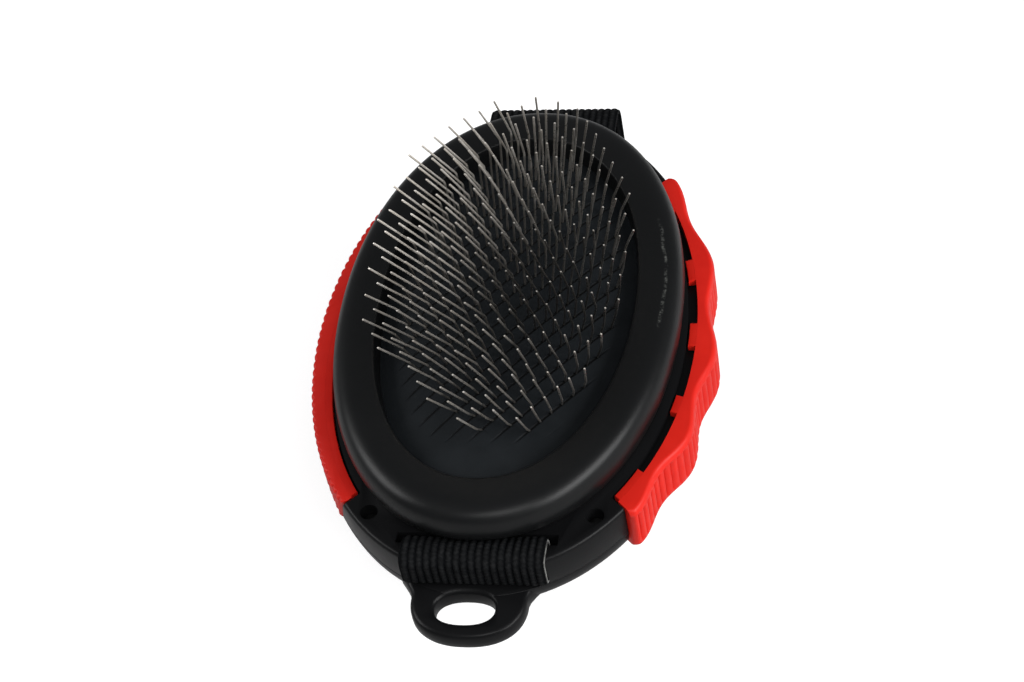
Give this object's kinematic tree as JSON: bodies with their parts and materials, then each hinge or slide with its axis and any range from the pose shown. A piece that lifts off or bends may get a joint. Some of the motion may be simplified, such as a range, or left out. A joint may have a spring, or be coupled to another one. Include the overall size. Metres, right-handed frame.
{
  "type": "bristle brush",
  "caption": "Palm-held oval slicker brush with a sunk cushion of bent wire pins, red side grips, a webbing hand strap and a moulded hanging loop.",
  "frame": {"origin": "middle of the flat underside of the hand strap, which the brush rests on when it lies on its back", "axes": "+Z out through the pins, +Y along the brush away from the hanging loop, +X toward the grip with finger bumps"},
  "size_m": [0.0865, 0.1405, 0.0704],
  "materials": {
    "shell_black": "fine moulded satin",
    "head_black": "satin gloss",
    "grip_red": "soft matte with moulded ribs",
    "pad_rubber": "matte",
    "foam_grey": "open cell foam",
    "pin_steel": "bright drawn wire",
    "strap_black": "ribbed woven webbing",
    "fastener_black": "hook and loop",
    "screw_steel": "plain zinc"
  },
  "bodies": {
    "brush": {"base_frame": "shell_black", "back_cover": "shell_black", "head_bezel": "head_black", "grip_left": "grip_red", "grip_right": "grip_red", "pin_pad": "pad_rubber", "foam_cushion": "foam_grey", "strap_webbing": "strap_black", "loop_patch": "fastener_black", "screw_01": "screw_steel", "screw_02": "screw_steel", "screw_03": "screw_steel", "screw_04": "screw_steel", "pin_row_01": "pin_steel", "pin_row_02": "pin_steel", "pin_row_03": "pin_steel", "pin_row_04": "pin_steel", "pin_row_05": "pin_steel", "pin_row_06": "pin_steel", "pin_row_07": "pin_steel", "pin_row_08": "pin_steel", "pin_row_09": "pin_steel", "pin_row_10": "pin_steel", "pin_row_11": "pin_steel", "pin_row_12": "pin_steel", "pin_row_13": "pin_steel", "pin_row_14": "pin_steel", "pin_row_15": "pin_steel", "pin_row_16": "pin_steel", "pin_row_17": "pin_steel"},
    "tail": {"strap_tail": "strap_black", "hook_patch": "fastener_black"}
  },
  "joints": [
    {"name": "tail_peel", "type": "hinge", "parent": "brush", "child": "tail", "pos_m": [0.0018, 0.06635, 0.02565], "axis": [1, 0, 0], "range_deg": [0, 120]}
  ]
}
